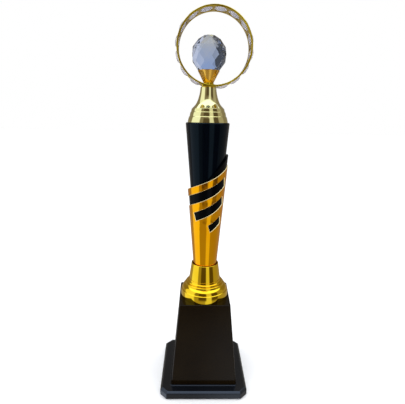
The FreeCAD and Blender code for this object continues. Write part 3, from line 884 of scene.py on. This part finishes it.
def cut_stone(work, centre):
    """Oval stone with a table, two rows of crown facets, a girdle and a shallow faceted back."""
    sides = 12
    turn = math.radians(centre)
    radial = Vector((math.sin(turn), 0, math.cos(turn)))
    tangent = Vector((math.cos(turn), 0, -math.sin(turn)))
    middle = Vector((HOOP_X, 0, HOOP_Z))
    back = BAND_INNER - 0.3 * MM
    levels = [
        (back, 0.55, 0.0), (back + 0.7 * MM, 0.90, 0.5), (BAND_OUTER - 0.4 * MM, 0.99, 0.0),
        (BAND_OUTER, 0.99, 0.0), (BAND_OUTER + 1.5 * MM, 0.80, 0.5), (BAND_OUTER + 2.4 * MM, 0.48, 0.0),
    ]
    rows = []
    for distance, scale, stagger in levels:
        row = []
        for side in range(sides):
            step = 2 * math.pi * (side + stagger) / sides
            sideways = tangent * (WINDOW_HALF_WIDTH * scale * squared(math.cos(step)))
            deep = Vector((0, WINDOW_HALF_DEPTH * scale * squared(math.sin(step)), 0))
            row.append(work.verts.new(middle + radial * distance + sideways + deep))
        rows.append(row)
    work.faces.new(rows[0])
    work.faces.new(rows[-1])
    for number, (lower, upper) in enumerate(zip(rows, rows[1:])):
        shift = levels[number + 1][2] - levels[number][2]
        for side in range(sides):
            following = (side + 1) % sides
            if shift == 0:
                work.faces.new((lower[side], lower[following], upper[following], upper[side]))
            elif shift > 0:
                work.faces.new((lower[side], lower[following], upper[side]))
                work.faces.new((upper[side], lower[following], upper[following]))
            else:
                work.faces.new((lower[side], upper[following], upper[side]))
                work.faces.new((lower[side], lower[following], upper[following]))


def hoop_stones():
    """One cut stone in each bay but the seat's."""
    def build(work):
        for bay in range(BAYS):
            if bay != SEAT_BAY:
                cut_stone(work, FIRST_BAY + BAY_STEP * bay)
    piece = make_object("hoop_stones_cut", mesh_from("hoop_stones_cut", build))
    return finish_piece(piece, STONE, "hoop_stones", smooth=False)


def hoop_collar():
    """Small bright ring on the tab."""
    top = (COLLAR_TOP - TAB_TOP) / MM
    wide = half_width("hoop_collar") / MM
    bulge = ((wide, top / 2), (wide - 0.6, top))
    profile = outline((3.2, 0.0), (wide - 0.6, 0.0), bulge, (3.2, top), bevel=0.2)
    piece = lathe("hoop_collar_turned", profile, TAB_TOP, segments=96)
    return finish_piece(piece, HOOP_GOLD, "hoop_collar", sharp_angle=50)


# ---- ball -----------------------------------------------------------------------------------

def ball_cup():
    """Straight funnel with a narrow rolled lip; heights count from the collar."""
    top = (BALL_SEAT - COLLAR_TOP) / MM
    lip = half_width("ball_cup") / MM
    profile = outline(
        (3.0, 0.0), (5.6, 0.0), (6.1, 0.6), ((9.0, 6.4), (lip - 0.1, top - 0.9)), (lip, top - 0.7),
        (lip, top - 0.1), (lip - 0.3, top), (lip - 1.4, top), (4.5, top - 5.4), (3.0, top - 5.4), bevel=0.2,
    )
    piece = lathe("ball_cup_funnel", profile, COLLAR_TOP, segments=128)
    return finish_piece(piece, CUP_GOLD, "ball_cup", sharp_angle=50)


def crystal_ball():
    """Clear ball: rings of triangular facets between a flat base and a flat top."""
    facets = 10
    tall = (BALL_TOP - BALL_SEAT) / MM
    rings = [(0.0, 12.6), (8.8, 18.5), (17.0, 20.0), (25.3, 18.6), (32.7, 12.9), (tall, 7.0)]

    def build(work):
        rows = []
        for number, (height, radius) in enumerate(rings):
            row = []
            for facet in range(facets):
                turn = 2 * math.pi * (facet + 0.5 * (number % 2)) / facets
                row.append(work.verts.new((radius * MM * math.sin(turn), -radius * MM * math.cos(turn),
                                           BALL_SEAT + height * MM)))
            rows.append(row)
        work.faces.new(rows[0])
        work.faces.new(rows[-1])
        for number, (lower, upper) in enumerate(zip(rows, rows[1:])):
            for facet in range(facets):
                following = (facet + 1) % facets
                if number % 2 == 0:
                    work.faces.new((lower[facet], lower[following], upper[facet]))
                    work.faces.new((upper[facet], lower[following], upper[following]))
                else:
                    work.faces.new((lower[facet], upper[following], upper[facet]))
                    work.faces.new((lower[facet], lower[following], upper[following]))

    piece = make_object("crystal_ball_cut", mesh_from("crystal_ball_cut", build))
    return finish_piece(piece, CRYSTAL, "crystal_ball", smooth=False)


# ---- parts carried over from the CAD --------------------------------------------------------

def dress_cad(node, material):
    """Give a carried-over CAD node its material."""
    mesh_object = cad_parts[node]
    if isinstance(mesh_object, str):
        mesh_object = bpy.data.objects[mesh_object]
    if not mesh_object.data.materials:
        mesh_object.data.materials.append(material)
    for index in range(len(mesh_object.material_slots)):
        mesh_object.material_slots[index].material = material


base_slab()
plinth_block()
foot_flange()
foot_cup()
column_sleeve()
column_liner()
column_core()
bell_neck()
hoop_frame()
hoop_stones()
hoop_collar()
ball_cup()
crystal_ball()
for fastener in ("base_screws", "tie_rod", "rod_washer_lower", "rod_nut_lower", "rod_washer_upper",
                 "rod_nut_upper"):
    dress_cad(fastener, STEEL)
for plug in ("column_plug_lower", "column_plug_upper"):
    dress_cad(plug, PLUG_BLACK)
dress_cad("ballast_weight", IRON)
dress_cad("base_pad", FOAM)


# ---- stage, light and camera ----------------------------------------------------------------

FLOOR_HALF = 8.0


def floor():
    """Large pale floor."""
    def build(work):
        half = FLOOR_HALF
        corners = [work.verts.new(place) for place in ((-half, -half, 0), (half, -half, 0), (half, half, 0),
                                                       (-half, half, 0))]
        work.faces.new(corners)
    mesh = mesh_from("studio_floor", build)
    piece = bpy.data.objects.new("studio_floor", mesh)
    bpy.context.scene.collection.objects.link(piece)
    piece.data.materials.append(pale_floor())
    piece.visible_glossy = False
    piece.visible_transmission = False


def softbox(name, place, aim, size, power, colour=(1, 1, 1)):
    """Rectangular area light that faces a point."""
    light = bpy.data.lights.new(name, "AREA")
    light.shape = "RECTANGLE"
    light.size, light.size_y = size
    light.energy = power
    light.color = colour
    lamp = bpy.data.objects.new(name, light)
    lamp.location = place
    lamp.rotation_euler = (Vector(aim) - Vector(place)).to_track_quat("-Z", "Y").to_euler()
    lamp.visible_glossy = False
    lamp.visible_transmission = False
    bpy.context.scene.collection.objects.link(lamp)


# The studio that glass and metal mirror: a room that is lighter below than above, with four soft
# screens and two dark cloths in it. Angles are degrees, round from the camera's side towards +X
# and up from level. Each screen has its middle, half width, lowest and highest edge, brightness.
ROOM_LEVELS = [(-90, 0.45), (-20, 0.40), (10, 0.25), (90, 0.25)]
SCREEN_SOFTNESS = 8
EVEN_LEVEL = 0.55
MATT_STRENGTH = 1.08
WHITE = (1, 1, 1, 1)
SCREENS = [
    (-80, 25, -75, 60, 1.0),
    (20, 12, -75, 60, 0.8),
    (85, 15, -75, 60, 0.4),
    (-10, 15, -18, 30, 0.1),
    (50, 12, -18, 30, 0.1),
    (0, 150, 48, 80, 1.5),
]

# What clear glass lets through: a backdrop that turns from grey below to blue above, with one
# dark cloth and one pale card hung before it, placed as the screens are.
BACKDROP_LEVELS = [(-15, (0.42, 0.44, 0.44)), (25, (0.24, 0.33, 0.54))]
BACKDROP_SCREENS = [
    ((-155, 12, -75, 80), (0.05, 0.06, 0.08)),
    ((150, 8, -75, 80), (0.50, 0.56, 0.70)),
]


def warmed(level):
    """Colour of a mirrored screen: bright ones a little cool, dark gaps a little warm."""
    lift = level / EVEN_LEVEL
    return (level, level * lift ** 0.15, level * lift ** 0.35)


def studio_world():
    """Even white light for matt surfaces and the view behind; screens and cloths for shiny ones."""
    world = bpy.data.worlds.new("studio")
    bpy.context.scene.world = world
    world.use_nodes = True
    nodes = Nodes(world.node_tree)
    plain = world.node_tree.nodes["Background"]
    plain.inputs["Color"].default_value = WHITE
    plain.inputs["Strength"].default_value = MATT_STRENGTH
    backdrop = nodes.add("ShaderNodeBackground")
    backdrop.inputs["Color"].default_value = WHITE
    direction = nodes.add("ShaderNodeTexCoord")
    split = nodes.add("ShaderNodeSeparateXYZ")
    nodes.link(direction.outputs["Generated"], split.inputs["Vector"])
    back = nodes.add("ShaderNodeMath", operation="MULTIPLY")
    nodes.link(split.outputs["Y"], back.inputs[0])
    back.inputs[1].default_value = -1
    turn = nodes.add("ShaderNodeMath", operation="ARCTAN2")
    nodes.link(split.outputs["X"], turn.inputs[0])
    nodes.link(back.outputs["Value"], turn.inputs[1])
    share = nodes.add("ShaderNodeMapRange")
    share.inputs["From Min"].default_value = -math.pi
    share.inputs["From Max"].default_value = math.pi
    nodes.link(turn.outputs["Value"], share.inputs["Value"])
    height = nodes.add("ShaderNodeMath", operation="ARCSINE")
    nodes.link(split.outputs["Z"], height.inputs[0])
    tilt = nodes.add("ShaderNodeMapRange")
    tilt.inputs["From Min"].default_value = -math.pi / 2
    tilt.inputs["From Max"].default_value = math.pi / 2
    nodes.link(height.outputs["Value"], tilt.inputs["Value"])

    def window(source, reach, start, end):
        """1 between two angles and 0 outside them, with soft edges; reach is the scale's end."""
        edges = [(start - SCREEN_SOFTNESS, 0), (start, 1), (end, 1), (end + SCREEN_SOFTNESS, 0)]
        stops = [((angle + reach) / (2 * reach), (level,) * 3) for angle, level in edges]
        return nodes.ramp(source, stops, "EASE")

    def hung(view, middle, half, lowest, highest, screen):
        """The view with one soft screen hung in it."""
        inside = nodes.add("ShaderNodeMath", operation="MULTIPLY")
        across = window(share.outputs["Result"], 180, middle - half, middle + half)
        nodes.link(across, inside.inputs[0])
        nodes.link(window(tilt.outputs["Result"], 90, lowest, highest), inside.inputs[1])
        mix = nodes.add("ShaderNodeMix", data_type="RGBA")
        nodes.link(inside.outputs["Value"], mix.inputs["Factor"])
        nodes.link(view, mix.inputs["A"])
        mix.inputs["B"].default_value = (*screen, 1)
        return mix.outputs["Result"]

    def by_height(levels):
        """A view whose colour changes with the angle up from level only."""
        return nodes.ramp(tilt.outputs["Result"], [((angle + 90) / 180, level) for angle, level in levels])

    colour = by_height([(angle, warmed(level)) for angle, level in ROOM_LEVELS])
    for *place, level in SCREENS:
        colour = hung(colour, *place, warmed(level))
    studio = nodes.add("ShaderNodeBackground")
    nodes.link(colour, studio.inputs["Color"])
    behind = by_height(BACKDROP_LEVELS)
    for place, level in BACKDROP_SCREENS:
        behind = hung(behind, *place, level)
    through = nodes.add("ShaderNodeBackground")
    nodes.link(behind, through.inputs["Color"])
    path = nodes.add("ShaderNodeLightPath")
    shade = studio.outputs["Background"]
    seen = (("Is Transmission Ray", through), ("Is Diffuse Ray", plain), ("Is Camera Ray", backdrop))
    for ray, light in seen:
        blend = nodes.add("ShaderNodeMixShader")
        nodes.link(path.outputs[ray], blend.inputs["Fac"])
        nodes.link(shade, blend.inputs[1])
        nodes.link(light.outputs["Background"], blend.inputs[2])
        shade = blend.outputs["Shader"]
    nodes.link(shade, world.node_tree.nodes["World Output"].inputs["Surface"])


SENSOR_WIDTH = 36.0
FOCAL_LENGTH = 31.11
CAMERA_PLACE = Vector((-14.65, -423.5, 343.0)) * MM
CAMERA_TURNS = (0.024, 0.235, 0.018)     # pan, downward pitch and roll, in radians


def camera():
    """Camera above the trophy's middle, tipped down and rolled a touch."""
    lens = bpy.data.cameras.new("camera")
    lens.sensor_width = SENSOR_WIDTH
    lens.lens = FOCAL_LENGTH
    view = bpy.data.objects.new("camera", lens)
    pan, pitch, roll = CAMERA_TURNS
    forward = Vector((math.sin(pan) * math.cos(pitch), math.cos(pan) * math.cos(pitch), -math.sin(pitch)))
    right = Vector((math.cos(pan), -math.sin(pan), 0))
    upward = right.cross(forward)
    side = right * math.cos(roll) + upward * math.sin(roll)
    rise = upward * math.cos(roll) - right * math.sin(roll)
    pose = Matrix((side, rise, -forward)).transposed().to_4x4()
    pose.translation = CAMERA_PLACE
    view.matrix_world = pose
    bpy.context.scene.collection.objects.link(view)
    bpy.context.scene.camera = view


floor()
studio_world()
softbox("key_light", (-0.9, -0.9, 1.3), (0, 0, 0.22), (0.7, 1.2), 4)
softbox("fill_light", (1.1, -0.7, 0.9), (0, 0, 0.22), (0.6, 1.2), 2)
softbox("top_light", (0.1, 0.1, 1.7), (0, 0, 0), (1.6, 1.6), 5)
camera()
bpy.context.scene.view_settings.view_transform = "Standard"
